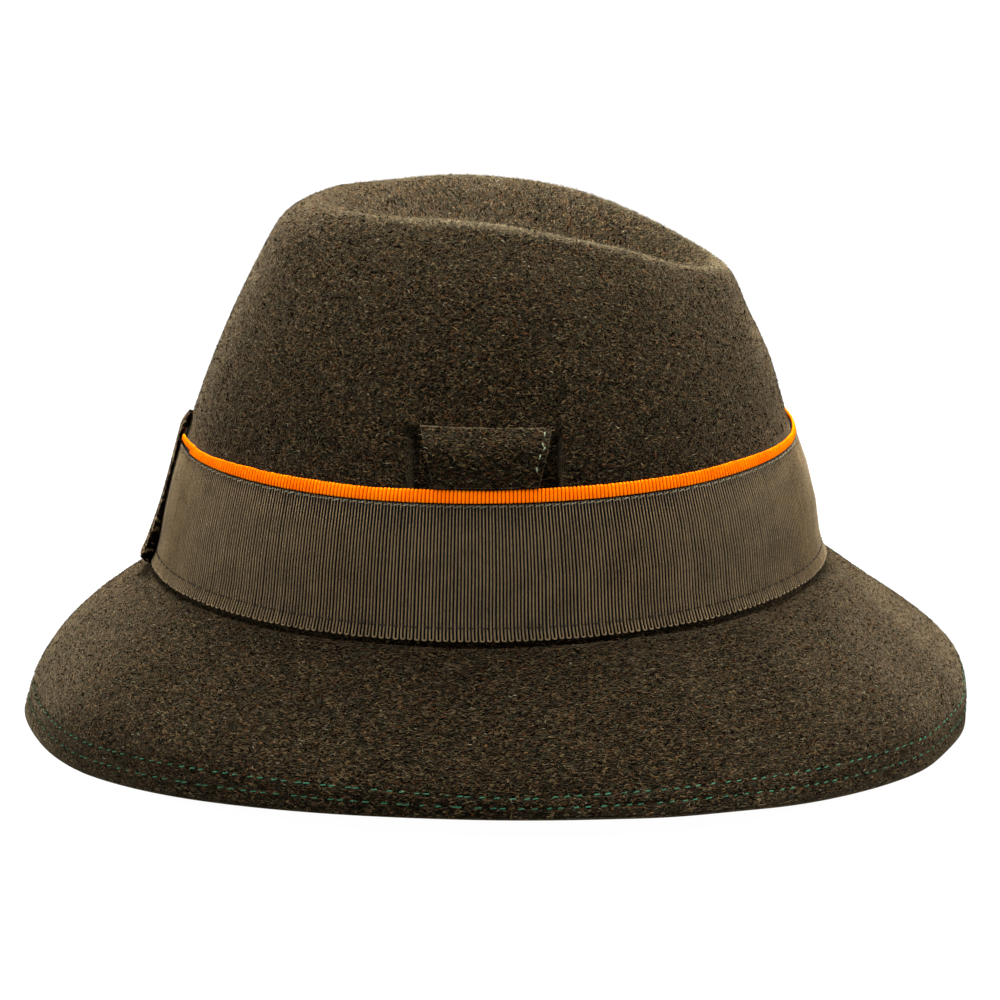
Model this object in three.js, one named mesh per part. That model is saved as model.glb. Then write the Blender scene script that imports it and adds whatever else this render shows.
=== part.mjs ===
import * as THREE from "three";

// A felt hunting hat with a centre-dent crown, standing on its brim.
// Millimetres. +X is the front, +Y the wearer's left, +Z up, and the floor is z = 0.

const COLUMNS = 72;
const CROWN_FELT = 2.0;
const BRIM_FELT = 2.4;

// Ribbon, piping and tab are measured outwards from the felt surface.
const BAND_GAP = 0.35;
const RIBBON_WALL = 1.05;
const PIPING_WALL = 0.9;
const RIBBON_FOOT_STANDOFF = 1.2;
const RIBBON_TOP = 5.812;
const PIPING_FOOT = 5.83;
const PIPING_TOP = 6.0;

// Rings of the felt, from the brim edge over the crown and down into the dent.
// front, back and side are reaches from the middle of the hat; middle shifts the widest place forward.
// zFront, zSide and zBack are heights; square below 1 makes the front half of the ring squarer, and
// fall above 2 keeps the sides high for longer before the ring falls to its front and back.
// steps counts the rows up to the next ring.
const SECTION_COLUMNS = ["front", "back", "middle", "side", "zFront", "zSide", "zBack", "square", "fall", "steps"];
const SECTION_ROWS = {
  brimEdge: [146.5, 146.5, 15, 130.5, -2.2, 7.2, -2.2, 0.92, 2, 2],
  brimLower: [145.4, 142.5, 7, 126.4, 10.3, 13.3, 12, 0.92, 2.4, 2],
  brimUpper: [121, 131, 5, 107.6, 30.8, 30.9, 28, 0.92, 2, 3],
  brimRoot: [105, 108.6, 0, 90, 44.2, 43.8, 43.6, 0.98, 2, 2],
  bandFoot: [101, 104.3, -1, 86.8, 46.8, 45.6, 46.8, 1, 2, 2],
  bandMiddle: [97.2, 99.3, -1, 82.7, 70, 70, 70, 1, 2, 2],
  bandHead: [90.6, 93.6, -1, 78.7, 90, 90, 90, 1, 2, 3],
  crownMiddle: [84.4, 82.3, 2, 64.8, 111, 118, 120, 1, 2, 2],
  crownUpper: [77.4, 70.9, 7, 51, 126.4, 140.3, 143, 1, 2, 2],
  ridgeOutside: [73.3, 62.5, 11, 40.2, 135.6, 153, 156, 1, 2, 2],
  ridge: [69.6, 55, 13, 35.5, 138.8, 157.2, 159.5, 1, 2, 2],
  dentLip: [63, 47.5, 13, 29.6, 136.2, 155, 157.2, 1, 2, 2],
  dentWall: [53, 35, 12, 18.5, 130, 145, 149.5, 1, 2, 2],
  dentFloor: [33, 15, 9, 7, 128.5, 137, 141, 1, 2, 0],
};
const SECTIONS = Object.values(SECTION_ROWS).map((row) =>
  Object.fromEntries(SECTION_COLUMNS.map((column, i) => [column, row[i]])),
);
const DENT_BOTTOM = { x: 9, z: 133.5 };

// The felt loop on the wearer's right side: foot and top count rings as in SECTIONS.
const LOOP = {
  x: -2.2,
  foot: 6.02,
  top: 6.6,
  footHalf: 15.2,
  topHalf: 19,
  gap: 0.4,
  bulge: 2.3,
  wall: 1.6,
};
const LOOP_COLUMNS = 12;
const LOOP_ROWS = 10;

// The strap over the ribbon join at the back: at counts rings as in SECTIONS, lift is its clear
// height over the felt and wall its thickness. Its foot is folded double, and its top bends in to the
// crown and slants: slant is how many rings it falls for each millimetre to the left, above slantFrom.
const TAB = { y: -2.5, halfWidth: 7.5, slant: 0.006, slantFrom: 5.83 };
const TAB_COLUMNS = 4;
const TAB_PROFILE = [
  { at: 3.8, lift: 2.7, wall: 2.8 },
  { at: 4.08, lift: 2.95, wall: 2.9 },
  { at: 4.26, lift: 2.6, wall: 2.8 },
  { at: 4.4, lift: 2.25, wall: 2.7 },
  { at: 4.55, lift: 1.9, wall: 2.3 },
  { at: 4.72, lift: 1.75, wall: 1.7 },
  { at: 4.9, lift: 1.72, wall: 1.15 },
  { at: 5.2, lift: 1.72, wall: 1.0 },
  { at: 5.55, lift: 1.72, wall: 1.0 },
  { at: 5.83, lift: 1.75, wall: 1.0 },
  { at: 6.0, lift: 1.75, wall: 1.0 },
  { at: 6.06, lift: 1.35, wall: 1.0 },
  { at: 6.11, lift: 0.85, wall: 1.0 },
  { at: 6.15, lift: 0.4, wall: 1.0 },
];

function ringPoint(section, angle) {
  const c = Math.cos(angle);
  const s = Math.sin(angle);
  const reach = c > 0 ? section.front - section.middle : section.back + section.middle;
  const power = c > 0 ? section.square : 1;
  const width = section.side * Math.sign(s) * Math.abs(s) ** power;
  const lean = ((section.zFront - section.zBack) / 2) * c;
  const rise = ((section.zFront + section.zBack) / 2 - section.zSide) * Math.abs(c) ** section.fall;
  const z = Math.max(0, section.zSide + lean + rise);
  return new THREE.Vector3(section.middle + reach * c, width, z);
}

function meridian(angle) {
  const points = SECTIONS.map((section) => ringPoint(section, angle));
  return new THREE.CatmullRomCurve3(points, false, "centripetal");
}

function feltPoint(angle, at) {
  return meridian(angle).getPoint(at / (SECTIONS.length - 1));
}

function feltNormal(angle, at) {
  const last = SECTIONS.length - 1;
  const low = Math.max(0, at - 0.02);
  const high = Math.min(last, at + 0.02);
  const up = feltPoint(angle, high).sub(feltPoint(angle, low));
  const around = feltPoint(angle + 0.01, at).sub(feltPoint(angle - 0.01, at));
  return around.cross(up).normalize();
}

function offsetPoint(angle, at, lift) {
  return feltPoint(angle, at).addScaledVector(feltNormal(angle, at), lift);
}

// Angle on the wearer's right side at which the felt lies x millimetres forward.
function rightSideAngle(x, at) {
  let low = -Math.PI;
  let high = 0;
  for (let pass = 0; pass < 30; pass += 1) {
    const half = (low + high) / 2;
    if (feltPoint(half, at).x < x) low = half;
    else high = half;
  }
  return (low + high) / 2;
}

function columnAngles() {
  return Array.from({ length: COLUMNS }, (_, i) => (i / COLUMNS) * 2 * Math.PI);
}

function rowStations() {
  const rows = [];
  SECTIONS.forEach((section, i) => {
    for (let k = 0; k < section.steps; k += 1) rows.push(i + k / section.steps);
  });
  rows.push(SECTIONS.length - 1);
  return rows;
}

class Builder {
  constructor() {
    this.positions = [];
    this.indices = [];
  }

  addRow(points) {
    const first = this.positions.length / 3;
    for (const p of points) this.positions.push(p.x, p.y, p.z);
    return points.map((_, i) => first + i);
  }

  // Two triangles between a, b on one row and d, c on the next, seen from outside anticlockwise.
  quad(a, b, c, d) {
    this.indices.push(a, b, c, a, c, d);
  }

  band(lower, upper, closed) {
    const count = closed ? lower.length : lower.length - 1;
    for (let i = 0; i < count; i += 1) {
      const j = (i + 1) % lower.length;
      this.quad(lower[i], lower[j], upper[j], upper[i]);
    }
  }

  fan(row, tip, flip) {
    for (let i = 0; i < row.length; i += 1) {
      const j = (i + 1) % row.length;
      if (flip) this.indices.push(row[j], row[i], tip);
      else this.indices.push(row[i], row[j], tip);
    }
  }

  mesh(name, color, roughness) {
    const geometry = new THREE.BufferGeometry();
    geometry.setAttribute("position", new THREE.Float32BufferAttribute(this.positions, 3));
    geometry.setIndex(this.indices);
    geometry.computeVertexNormals();
    const material = new THREE.MeshStandardMaterial({ color, roughness, metalness: 0 });
    const mesh = new THREE.Mesh(geometry, material);
    mesh.name = name;
    return mesh;
  }
}

// A hoop around the crown: rows of outer and inner points, closed by its two narrow edges.
function hoop(outerRows, innerRows, name, color, roughness) {
  const b = new Builder();
  const outer = outerRows.map((row) => b.addRow(row));
  const inner = innerRows.map((row) => b.addRow(row));
  const last = outer.length - 1;
  for (let r = 0; r < last; r += 1) {
    b.band(outer[r], outer[r + 1], true);
    b.band(inner[r + 1], inner[r], true);
  }
  b.band(inner[0], outer[0], true);
  b.band(outer[last], inner[last], true);
  return b.mesh(name, color, roughness);
}

// A flat piece bent over the felt: two grids of points and the four edges between them.
function patch(outerRows, innerRows, name, color, roughness) {
  const b = new Builder();
  const outer = outerRows.map((row) => b.addRow(row));
  const inner = innerRows.map((row) => b.addRow(row));
  const last = outer.length - 1;
  const end = outer[0].length - 1;
  for (let r = 0; r < last; r += 1) {
    b.band(outer[r], outer[r + 1], false);
    b.band(inner[r + 1], inner[r], false);
    b.quad(inner[r][0], outer[r][0], outer[r + 1][0], inner[r + 1][0]);
    b.quad(outer[r][end], inner[r][end], inner[r + 1][end], outer[r + 1][end]);
  }
  b.band(inner[0], outer[0], false);
  b.band(outer[last], inner[last], false);
  return b.mesh(name, color, roughness);
}

// The brim rests on a flattened edge, so the inside of its first row is moved level instead of square.
function innerFelt(angle, at) {
  const outer = feltPoint(angle, at);
  const normal = feltNormal(angle, at);
  if (at === 0) {
    const level = Math.hypot(normal.x, normal.y);
    const reach = BRIM_FELT / level / level;
    return new THREE.Vector3(outer.x - normal.x * reach, outer.y - normal.y * reach, outer.z);
  }
  const blend = THREE.MathUtils.smoothstep(at, 2, 4);
  const wall = THREE.MathUtils.lerp(BRIM_FELT, CROWN_FELT, blend);
  return outer.addScaledVector(normal, -wall);
}

function feltBody() {
  const b = new Builder();
  const angles = columnAngles();
  const stations = rowStations();
  const outer = stations.map((at) => b.addRow(angles.map((angle) => feltPoint(angle, at))));
  const inner = stations.map((at) => b.addRow(angles.map((angle) => innerFelt(angle, at))));
  const last = stations.length - 1;
  for (let r = 0; r < last; r += 1) {
    b.band(outer[r], outer[r + 1], true);
    b.band(inner[r + 1], inner[r], true);
  }
  b.band(inner[0], outer[0], true);
  const top = b.addRow([new THREE.Vector3(DENT_BOTTOM.x, 0, DENT_BOTTOM.z)])[0];
  const under = b.addRow([new THREE.Vector3(DENT_BOTTOM.x, 0, DENT_BOTTOM.z - CROWN_FELT)])[0];
  b.fan(outer[last], top, false);
  b.fan(inner[last], under, true);
  return b.mesh("felt_body", 0x4a3e2d, 0.95);
}

function ribbonBand() {
  const angles = columnAngles();
  const rows = [4, 4.5, 5, 5.5, RIBBON_TOP];
  const clear = (at) => (at === 4 ? RIBBON_FOOT_STANDOFF : BAND_GAP);
  const outer = rows.map((at) => angles.map((angle) => offsetPoint(angle, at, clear(at) + RIBBON_WALL)));
  const inner = rows.map((at) => angles.map((angle) => offsetPoint(angle, at, clear(at))));
  return hoop(outer, inner, "ribbon_band", 0x5f503d, 0.8);
}

function orangePiping() {
  const angles = columnAngles();
  const rows = [PIPING_FOOT, PIPING_TOP];
  const outer = rows.map((at) => angles.map((angle) => offsetPoint(angle, at, BAND_GAP + PIPING_WALL)));
  const inner = rows.map((at) => angles.map((angle) => offsetPoint(angle, at, BAND_GAP)));
  return hoop(outer, inner, "orange_piping", 0xe86a07, 0.6);
}

function feltLoop() {
  const face = (extra) => {
    const rows = [];
    for (let r = 0; r <= LOOP_ROWS; r += 1) {
      const v = r / LOOP_ROWS;
      const at = THREE.MathUtils.lerp(LOOP.foot, LOOP.top, v);
      const half = THREE.MathUtils.lerp(LOOP.footHalf, LOOP.topHalf, v);
      const lift = LOOP.gap + LOOP.bulge * Math.sin(Math.PI * v) + extra;
      const row = [];
      for (let i = 0; i <= LOOP_COLUMNS; i += 1) {
        const x = LOOP.x + half * ((2 * i) / LOOP_COLUMNS - 1);
        row.push(offsetPoint(rightSideAngle(x, at), at, lift));
      }
      rows.push(row);
    }
    return rows;
  };
  return patch(face(LOOP.wall), face(0), "felt_loop", 0x443828, 0.95);
}

function backTab() {
  const top = TAB_PROFILE[TAB_PROFILE.length - 1].at;
  const face = (thick) =>
    TAB_PROFILE.map((profile) => {
      const share = Math.max(0, (profile.at - TAB.slantFrom) / (top - TAB.slantFrom));
      const row = [];
      for (let i = 0; i <= TAB_COLUMNS; i += 1) {
        const across = TAB.halfWidth * (1 - (2 * i) / TAB_COLUMNS);
        const at = profile.at - TAB.slant * across * share;
        const angle = Math.PI - Math.asin((TAB.y + across) / feltPoint(Math.PI / 2, at).y);
        row.push(offsetPoint(angle, at, profile.lift + thick * profile.wall));
      }
      return row;
    });
  return patch(face(1), face(0), "back_tab", 0x6a573f, 0.85);
}

const hat = new THREE.Group();
hat.name = "hunting_hat";
hat.add(feltBody(), ribbonBand(), orangePiping(), feltLoop(), backTab());

export default hat;
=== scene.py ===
import math

import bpy
import numpy as np
from mathutils import Matrix, Vector


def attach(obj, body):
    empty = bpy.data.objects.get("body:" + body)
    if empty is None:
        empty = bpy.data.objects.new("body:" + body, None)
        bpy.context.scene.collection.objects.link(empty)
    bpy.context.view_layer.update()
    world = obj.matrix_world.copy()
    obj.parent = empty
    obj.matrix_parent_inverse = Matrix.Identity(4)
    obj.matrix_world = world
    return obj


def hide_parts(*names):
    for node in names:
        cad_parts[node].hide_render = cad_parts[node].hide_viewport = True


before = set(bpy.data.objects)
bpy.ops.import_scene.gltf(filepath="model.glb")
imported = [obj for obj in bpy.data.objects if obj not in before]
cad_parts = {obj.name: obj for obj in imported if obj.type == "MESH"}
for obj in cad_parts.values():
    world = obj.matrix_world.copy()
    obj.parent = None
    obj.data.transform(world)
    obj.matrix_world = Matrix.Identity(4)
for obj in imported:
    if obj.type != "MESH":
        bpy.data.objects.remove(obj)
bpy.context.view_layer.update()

# The hat's own sizes, in millimetres, as in the part's source. +X is its front, +Y the wearer's left.
BRIM_FELT = 2.4
CROWN_FELT = 2.0
BAND_GAP = 0.35
RIBBON_WALL = 1.05
PIPING_WALL = 0.9
RIBBON_FOOT_STANDOFF = 1.2

# The felt's sections, from the brim's edge over the foot of the crown and its ridge into the dent.
# Columns: front, back, middle, side, z front, z side, z back, square, fall.
SECTIONS = np.array([
    [146.5, 146.5, 15, 130.5, -2.2, 7.2, -2.2, 0.92, 2],
    [145.4, 142.5, 7, 126.4, 10.3, 13.3, 12, 0.92, 2.4],
    [121, 131, 5, 107.6, 30.8, 30.9, 28, 0.92, 2],
    [105, 108.6, 0, 90, 44.2, 43.8, 43.6, 0.98, 2],
    [101, 104.3, -1, 86.8, 46.8, 45.6, 46.8, 1, 2],
    [97.2, 99.3, -1, 82.7, 70, 70, 70, 1, 2],
    [90.6, 93.6, -1, 78.7, 90, 90, 90, 1, 2],
    [84.4, 82.3, 2, 64.8, 111, 118, 120, 1, 2],
    [77.4, 70.9, 7, 51, 126.4, 140.3, 143, 1, 2],
    [73.3, 62.5, 11, 40.2, 135.6, 153, 156, 1, 2],
    [69.6, 55, 13, 35.5, 138.8, 157.2, 159.5, 1, 2],
    [63, 47.5, 13, 29.6, 136.2, 155, 157.2, 1, 2],
    [53, 35, 12, 18.5, 130, 145, 149.5, 1, 2],
    [33, 15, 9, 7, 128.5, 137, 141, 1, 2],
])
LAST = len(SECTIONS) - 1
DENT_BOTTOM = (9.0, 0.0, 133.5)

# A place on the felt is counted in sections: 0 is the brim's edge, and 10 is the ridge.
RIBBON_FOOT = 4.02
RIBBON_TOP = 5.812
PIPING_FOOT = 5.83
PIPING_TOP = 6.0
RIDGE = 10.0

LOOP = {"x": -2.2, "foot": 6.02, "top": 6.59, "foot_half": 15.2, "top_half": 19.0,
        "gap": 0.4, "bulge": 2.3, "wall": 1.6}
TAB = {"y": -2.0, "half_width": 7.0, "slant": 0.006, "slant_from": 5.83}
# Columns: place on the felt, clear height over it, thickness.
TAB_PROFILE = np.array([
    [3.8, 2.7, 2.8], [4.08, 2.95, 2.9], [4.26, 2.6, 2.8], [4.4, 2.25, 2.7], [4.55, 1.9, 2.3],
    [4.72, 1.72, 1.6], [4.9, 1.68, 0.95], [5.2, 1.65, 0.75], [5.55, 1.65, 0.75], [5.83, 1.7, 0.8],
    [6.0, 1.75, 0.9], [6.06, 1.35, 0.9], [6.11, 0.85, 0.9], [6.15, 0.4, 0.9],
])

# What lies on the felt keeps this far off the floor, in millimetres.
FLOOR_CLEARANCE = 0.02
# Middling radii of the crown and of the rows of stitches, which turn a length into an angle.
CROWN_RADIUS = 90
STITCH_RADIUS = 110
# About a full turn, to draw phases from.
PHASES = (0, 6.3)

rng = np.random.default_rng(11)


# Small helpers for numbers and vectors.

def ease(x):
    """0 below 0, 1 above 1, and a smooth rise between."""
    x = np.clip(x, 0, 1)
    return x * x * (3 - 2 * x)


def bell(x, width):
    """A soft hump, 1 where x is 0."""
    return np.exp(-((x / width) ** 2))


def unit(v):
    """The same vectors, of length one."""
    return v / np.linalg.norm(v, axis=-1, keepdims=True)


def lengths_along(points, axis=0):
    """How far along its line each point lies, for lines that run along an axis of the grid."""
    steps = np.linalg.norm(np.diff(points, axis=axis), axis=-1)
    return np.insert(np.cumsum(steps, axis), 0, 0.0, axis)


# The felt's surface, by the angle round the hat and the place between the sections.

def ring(index, angle):
    """Points of a section: square makes its front half fuller, fall shapes its rise and dip."""
    row = SECTIONS[index]
    front, back, middle, side, z_front, z_side, z_back, square, fall = np.moveaxis(row, -1, 0)
    c, s = np.cos(angle), np.sin(angle)
    reach = np.where(c > 0, front - middle, back + middle)
    width = side * np.sign(s) * np.abs(s) ** np.where(c > 0, square, 1.0)
    z = z_side + (z_front - z_back) / 2 * c + ((z_front + z_back) / 2 - z_side) * np.abs(c) ** fall
    return np.stack([middle + reach * c, width, np.maximum(0, z)], -1)


def felt(angle, at):
    """Points on a smooth curve through the sections, a centripetal Catmull-Rom spline."""
    angle, at = np.broadcast_arrays(np.asarray(angle, float), np.asarray(at, float))
    i = np.minimum(at.astype(int), LAST - 1)
    u = (at - i)[..., None]
    p1, p2 = ring(i, angle), ring(i + 1, angle)
    p0 = np.where((i > 0)[..., None], ring(np.maximum(i - 1, 0), angle), 2 * p1 - p2)
    p3 = np.where((i < LAST - 1)[..., None], ring(np.minimum(i + 2, LAST), angle), 2 * p2 - p1)

    def step(a, b):
        return np.maximum(np.linalg.norm(b - a, axis=-1, keepdims=True) ** 0.5, 1e-6)

    d0, d1, d2 = step(p0, p1), step(p1, p2), step(p2, p3)
    m1 = ((p1 - p0) / d0 - (p2 - p0) / (d0 + d1) + (p2 - p1) / d1) * d1
    m2 = ((p2 - p1) / d1 - (p3 - p1) / (d1 + d2) + (p3 - p2) / d2) * d1
    return ((2 * u**3 - 3 * u**2 + 1) * p1 + (u**3 - 2 * u**2 + u) * m1
            + (3 * u**2 - 2 * u**3) * p2 + (u**3 - u**2) * m2)


def normal(angle, at):
    """The felt's outward normals, from small steps up it and round it."""
    step_up, step_round = 0.02, 0.01
    angle, at = np.broadcast_arrays(np.asarray(angle, float), np.asarray(at, float))
    up = felt(angle, np.minimum(at + step_up, LAST)) - felt(angle, np.maximum(at - step_up, 0))
    around = felt(angle + step_round, at) - felt(angle - step_round, at)
    return unit(np.cross(around, up))


WAVE_COUNT = 8
WAVE_HEIGHT = 0.16
WAVE_LENGTHS = (28, 75)


def draw_wave():
    """A sine wave through space: its direction and pitch as one vector, and its phase."""
    length = rng.uniform(*WAVE_LENGTHS)
    direction = rng.normal(size=3)
    return direction / np.linalg.norm(direction) * 2 * math.pi / length, rng.uniform(*PHASES)


WAVES = [draw_wave() for _ in range(WAVE_COUNT)]


def wobble(p):
    """The slight unevenness of hand-blocked felt, in millimetres."""
    return sum(WAVE_HEIGHT * np.sin(p @ direction + phase) for direction, phase in WAVES)


def skin(angle, at, lift):
    """Points at a height over the felt, and the felt's normals there."""
    base, n = felt(angle, at), normal(angle, at)
    p = base + n * (np.asarray(lift) + wobble(base))[..., None]
    p[..., 2] = np.maximum(p[..., 2], FLOOR_CLEARANCE)
    return p, n


def around_ring(at, samples=3601):
    """Angles round the felt at a place, and how far round it each lies."""
    angle = math.pi + np.linspace(0, 2 * math.pi, samples)
    return angle, lengths_along(felt(angle, at))


def even_angles(at, count):
    """Angles that lie evenly along the length of a ring."""
    angle, run = around_ring(at)
    return np.interp(np.arange(count) / count * run[-1], run, angle)


def at_from_edge(angle, distance):
    """The place that lies a distance up the felt from the brim's edge, for each angle."""
    grid = np.linspace(0, 2, 101)
    runs = lengths_along(felt(np.asarray(angle)[:, None], grid[None]), axis=1)
    return np.array([np.interp(distance, run, grid) for run in runs])


def side_angle(x, at):
    """Angle on the wearer's right side at which the felt lies x millimetres forward."""
    grid = np.linspace(-math.pi, 0, 721)
    return np.interp(x, felt(grid, at)[:, 0], grid)


# Mesh helpers. Points are in millimetres.

def make_mesh(name, points, quads, materials, triangles=None, indices=None, smooth=True):
    """A piece that rides with the hat. indices gives each face its material."""
    points = np.asarray(points, float).reshape(-1, 3) * 0.001
    faces = [np.asarray(quads).reshape(-1, 4)]
    if triangles is not None:
        faces.append(np.asarray(triangles).reshape(-1, 3))
    mesh = bpy.data.meshes.new(name)
    counts = np.concatenate([np.full(len(f), f.shape[1]) for f in faces])
    corners = np.concatenate([f.ravel() for f in faces])
    mesh.vertices.add(len(points))
    mesh.vertices.foreach_set("co", points.astype(np.float32).ravel())
    mesh.loops.add(len(corners))
    mesh.loops.foreach_set("vertex_index", corners.astype(np.int32))
    mesh.polygons.add(len(counts))
    mesh.polygons.foreach_set("loop_start", (np.cumsum(counts) - counts).astype(np.int32))
    mesh.polygons.foreach_set("use_smooth", np.full(len(counts), smooth))
    if indices is not None:
        mesh.polygons.foreach_set("material_index", np.asarray(indices, np.int32))
    mesh.update(calc_edges=True)
    mesh.validate()
    for material in materials:
        mesh.materials.append(material)
    obj = bpy.data.objects.new(name, mesh)
    bpy.context.scene.collection.objects.link(obj)
    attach(obj, "root")
    return obj


def grid_quads(rows, columns, around=True, start=0, along=False):
    """Quads over a grid of points, closed round its columns, and over its rows too if along."""
    r = np.arange(rows if along else rows - 1)
    c = np.arange(columns if around else columns - 1)
    r, c = np.meshgrid(r, c, indexing="ij")
    r2, c2 = (r + 1) % rows, (c + 1) % columns
    corners = [r * columns + c, r * columns + c2, r2 * columns + c2, r2 * columns + c]
    return (start + np.stack(corners, -1)).reshape(-1, 4)


# The share of a thread's radius that is left at its ends.
THREAD_END = 0.55


def tubes(paths, normals, radius, sides):
    """Round threads along many paths of one length: points, quads and end fans. The ends are drawn in."""
    paths = np.asarray(paths, float)
    count, steps = paths.shape[:2]
    along = unit(np.gradient(paths, axis=1))
    side = unit(np.cross(along, normals))
    up = np.cross(side, along)
    turn = np.arange(sides) / sides * 2 * math.pi
    r = np.broadcast_to(np.asarray(radius, float), (count, steps)).copy()
    r[:, 0] *= THREAD_END
    r[:, -1] *= THREAD_END
    circle = side[:, :, None] * np.cos(turn)[:, None] + up[:, :, None] * np.sin(turn)[:, None]
    points = paths[:, :, None] + circle * r[:, :, None, None]
    fan = np.array([[0, k, k + 1] for k in range(1, sides - 1)])
    ends = np.stack([fan[:, ::-1], fan + (steps - 1) * sides]).reshape(-1, 3)
    first = (np.arange(count) * steps * sides)[:, None, None]
    quads = grid_quads(steps, sides)[None] + first
    return points.reshape(-1, 3), quads.reshape(-1, 4), (ends[None] + first).reshape(-1, 3)


def join(parts):
    """Several meshes, each of points, quads and triangles, as one."""
    points, quads, triangles, start = [], [], [], 0
    for p, q, t in parts:
        points.append(p)
        quads.append(q + start)
        triangles.append(t + start)
        start += len(p)
    return np.concatenate(points), np.concatenate(quads), np.concatenate(triangles)


# Materials. Colours are written as sRGB, 0 to 255.

# Where a Mix node keeps its factor, its two colours and its result.
MIX_FACTOR, MIX_A, MIX_B, MIX_RESULT = 0, 6, 7, 2
SHEEN_TINT = (220, 208, 186)
METRES_TO_MM = (1000, 1000, 1000)


def linear(colour):
    """An sRGB colour as linear light."""
    c = np.array(colour) / 255
    return tuple(float(v) for v in np.where(c <= 0.04045, c / 12.92, ((c + 0.055) / 1.055) ** 2.4))


def toned(colour, factor):
    """A colour made darker or lighter."""
    return tuple(min(255, factor * v) for v in colour)


class Shader:
    """A material's Principled shader, and the nodes that feed it."""

    def __init__(self, name, roughness=0.95, sheen=0.0, sheen_tint=(255, 255, 255),
                 colour=(0.5, 0.5, 0.5), specular=0.3):
        self.material = bpy.data.materials.new(name)
        self.material.use_nodes = True
        self.tree = self.material.node_tree
        self.surface = self.tree.nodes["Principled BSDF"]
        self.set(self.surface, {"Base Color": (*colour, 1), "Roughness": roughness, "Sheen Weight": sheen,
                                "Sheen Tint": (*linear(sheen_tint), 1), "Sheen Roughness": 0.4,
                                "Specular IOR Level": specular})

    def set(self, node, values):
        """Links or sets a node's inputs."""
        for key, value in values.items():
            if isinstance(value, bpy.types.NodeSocket):
                self.tree.links.new(value, node.inputs[key])
            else:
                node.inputs[key].default_value = value
        return node

    def add(self, kind, inputs=None, **settings):
        """A new node, with its settings made before its inputs."""
        node = self.tree.nodes.new("ShaderNode" + kind)
        for key, value in settings.items():
            setattr(node, key, value)
        return self.set(node, inputs or {})

    def coords(self, rotation=(0, 0, 0), scale=METRES_TO_MM, source=None, shift=0.0):
        """Coordinates turned, scaled and shifted, from the object's own unless a source is given."""
        if source is None:
            source = self.add("TexCoord").outputs["Object"]
        return self.add("Mapping", {"Vector": source, "Rotation": rotation, "Scale": scale,
                                    "Location": (shift, shift, shift)}).outputs["Vector"]

    def noise(self, vector, scale, detail=2.0, output="Fac"):
        return self.add("TexNoise", {"Vector": vector, "Scale": scale, "Detail": detail}).outputs[output]

    def ramp(self, value, stops):
        """A colour ramp. Each stop has a place, and a colour or a grey in linear light."""
        node = self.add("ValToRGB", {"Fac": value})
        ramp = node.color_ramp
        while len(ramp.elements) < len(stops):
            ramp.elements.new(0.5)
        for element, (place, colour) in zip(ramp.elements, stops):
            element.position = place
            element.color = (*(linear(colour) if isinstance(colour, tuple) else (colour,) * 3), 1)
        return node.outputs["Color"]

    def mix(self, factor, a, b, blend="MIX"):
        inputs = {MIX_FACTOR: factor, MIX_A: a, MIX_B: b}
        return self.add("Mix", inputs, data_type="RGBA", blend_type=blend).outputs[MIX_RESULT]

    def maths(self, operation, a, b):
        return self.add("Math", {0: a, 1: b}, operation=operation).outputs[0]

    def bump(self, height, distance, strength):
        node = self.add("Bump", {"Height": height, "Distance": distance, "Strength": strength})
        self.tree.links.new(node.outputs["Normal"], self.surface.inputs["Normal"])


# How deep the relief of the cloths is, in metres.
FELT_RELIEF = 0.0003
YARN_RELIEF = 0.00008
STRAP_RELIEF = 0.00012
# Tones of the felt's flecks, by the share of them that are darker, and the dyes that tint them.
FLECK_TONES = [(0.0, (2, 1, 1)), (0.36, (3, 3, 2)), (0.6, (7, 6, 4)), (0.8, (20, 16, 10)),
               (0.93, (49, 39, 26)), (1.0, (93, 77, 53))]
FLECK_DYES = [(0.0, (252, 214, 196)), (0.3, (232, 222, 212)), (0.6, (224, 228, 218)), (1.0, (204, 230, 226))]
# Two layers of flecks: how they are turned, how many there are for each millimetre, and their shift.
FLECK_LAYERS = (((0, 0.12, 0), (1.05, 2.3, 2.3), 3.0), ((0, -0.5, 0.3), (1.2, 2.4, 2.4), 47.0))
# Thin hairs, longer and paler than the flecks: their colours, turn and number for each millimetre.
HAIR_TONES = [(0.0, (71, 48, 28)), (0.5, (79, 65, 45)), (1.0, (96, 89, 73))]
HAIR_TURN = (0, 0.3, 0)
HAIRS_PER_MM = (0.34, 2.7, 2.7)
# The radius, in metres, that turns the angle round the hat into a length.
FLECK_RADIUS = 0.09
# How far noise bends the rows of flecks, in millimetres.
FLECK_BEND = (2.2, 2.2, 2.2)


def unrolled(m):
    """Coordinates round the hat, out from its middle and up, in millimetres."""
    place = m.add("SeparateXYZ", {"Vector": m.add("TexCoord").outputs["Object"]}).outputs
    turn = m.maths("MULTIPLY", m.maths("ARCTAN2", place["Y"], place["X"]), FLECK_RADIUS)
    flat = m.add("CombineXYZ", {"X": place["X"], "Y": place["Y"]}).outputs["Vector"]
    reach = m.add("VectorMath", {0: flat}, operation="LENGTH").outputs["Value"]
    return m.coords(source=m.add("CombineXYZ", {"X": turn, "Y": reach, "Z": place["Z"]}).outputs["Vector"])


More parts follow.
